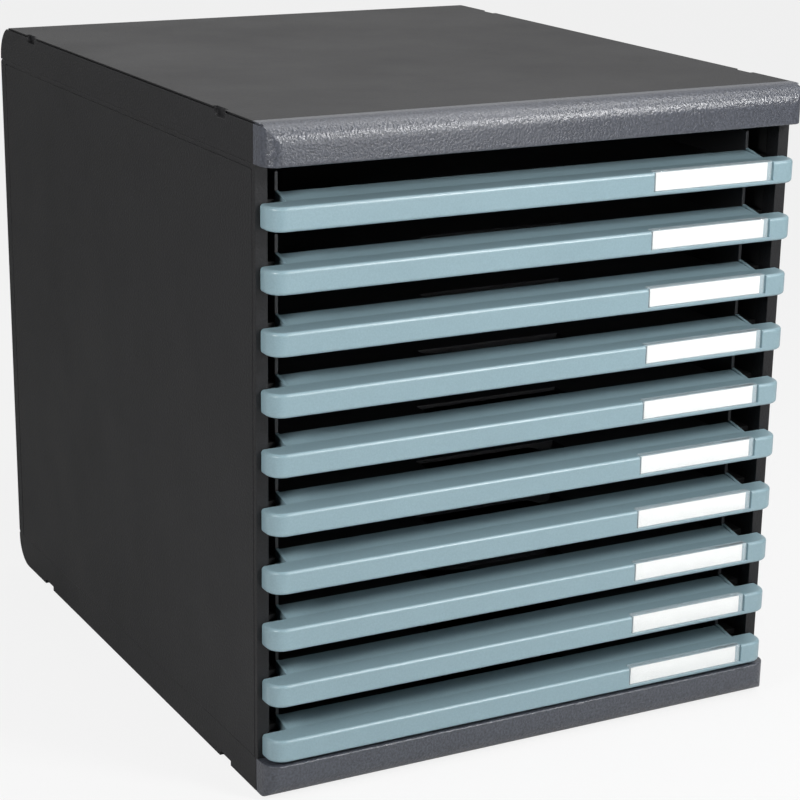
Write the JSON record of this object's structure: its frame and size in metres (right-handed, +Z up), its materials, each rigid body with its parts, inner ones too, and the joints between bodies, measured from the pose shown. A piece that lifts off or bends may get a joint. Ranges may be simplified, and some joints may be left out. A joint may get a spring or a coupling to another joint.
{
  "type": "desktop file drawer cabinet",
  "caption": "Free-standing desktop cabinet with open-front sliding drawers for loose sheets; each drawer has a grip bar with a label window.",
  "frame": {"origin": "on the table, under the centre of the cabinet's outline seen from above", "axes": "+X to the right seen from the front, +Y from the drawer fronts to the rear, +Z up"},
  "size_m": [0.288, 0.3576, 0.321],
  "materials": {
    "body_plastic": "fine matte grain, charcoal",
    "nose_plastic": "satin grain, charcoal",
    "runner_plastic": "matte, black",
    "drawer_plastic": "satin, pale grey blue",
    "tray_plastic": "matte, charcoal black",
    "window_plastic": "clear",
    "card": "white card",
    "foot_rubber": "matte"
  },
  "bodies": {
    "cabinet": {"top_cover": "body_plastic", "top_nose": "nose_plastic", "base": "body_plastic", "base_nose": "nose_plastic", "left_side_wall": "body_plastic", "right_side_wall": "body_plastic", "left_runner": "runner_plastic", "right_runner": "runner_plastic", "rear_panel": "body_plastic", "foot_front_left": "foot_rubber", "foot_front_right": "foot_rubber", "foot_rear_left": "foot_rubber", "foot_rear_right": "foot_rubber"},
    "drawer_01": {"drawer_front_01": "drawer_plastic", "drawer_tray_01": "tray_plastic", "label_window_01": "window_plastic", "label_card_01": "card"},
    "drawer_02": {"drawer_front_02": "drawer_plastic", "drawer_tray_02": "tray_plastic", "label_window_02": "window_plastic", "label_card_02": "card"},
    "drawer_03": {"drawer_front_03": "drawer_plastic", "drawer_tray_03": "tray_plastic", "label_window_03": "window_plastic", "label_card_03": "card"},
    "drawer_04": {"drawer_front_04": "drawer_plastic", "drawer_tray_04": "tray_plastic", "label_window_04": "window_plastic", "label_card_04": "card"},
    "drawer_05": {"drawer_front_05": "drawer_plastic", "drawer_tray_05": "tray_plastic", "label_window_05": "window_plastic", "label_card_05": "card"},
    "drawer_06": {"drawer_front_06": "drawer_plastic", "drawer_tray_06": "tray_plastic", "label_window_06": "window_plastic", "label_card_06": "card"},
    "drawer_07": {"drawer_front_07": "drawer_plastic", "drawer_tray_07": "tray_plastic", "label_window_07": "window_plastic", "label_card_07": "card"},
    "drawer_08": {"drawer_front_08": "drawer_plastic", "drawer_tray_08": "tray_plastic", "label_window_08": "window_plastic", "label_card_08": "card"},
    "drawer_09": {"drawer_front_09": "drawer_plastic", "drawer_tray_09": "tray_plastic", "label_window_09": "window_plastic", "label_card_09": "card"},
    "drawer_10": {"drawer_front_10": "drawer_plastic", "drawer_tray_10": "tray_plastic", "label_window_10": "window_plastic", "label_card_10": "card"}
  },
  "joints": [
    {"name": "drawer_01_slide", "type": "slide", "parent": "cabinet", "child": "drawer_01", "axis": [0, -1, 0], "range_m": [0, 0.24]},
    {"name": "drawer_02_slide", "type": "slide", "parent": "cabinet", "child": "drawer_02", "axis": [0, -1, 0], "range_m": [0, 0.24]},
    {"name": "drawer_03_slide", "type": "slide", "parent": "cabinet", "child": "drawer_03", "axis": [0, -1, 0], "range_m": [0, 0.24]},
    {"name": "drawer_04_slide", "type": "slide", "parent": "cabinet", "child": "drawer_04", "axis": [0, -1, 0], "range_m": [0, 0.24]},
    {"name": "drawer_05_slide", "type": "slide", "parent": "cabinet", "child": "drawer_05", "axis": [0, -1, 0], "range_m": [0, 0.24]},
    {"name": "drawer_06_slide", "type": "slide", "parent": "cabinet", "child": "drawer_06", "axis": [0, -1, 0], "range_m": [0, 0.24]},
    {"name": "drawer_07_slide", "type": "slide", "parent": "cabinet", "child": "drawer_07", "axis": [0, -1, 0], "range_m": [0, 0.24]},
    {"name": "drawer_08_slide", "type": "slide", "parent": "cabinet", "child": "drawer_08", "axis": [0, -1, 0], "range_m": [0, 0.24]},
    {"name": "drawer_09_slide", "type": "slide", "parent": "cabinet", "child": "drawer_09", "axis": [0, -1, 0], "range_m": [0, 0.24]},
    {"name": "drawer_10_slide", "type": "slide", "parent": "cabinet", "child": "drawer_10", "axis": [0, -1, 0], "range_m": [0, 0.24]}
  ]
}
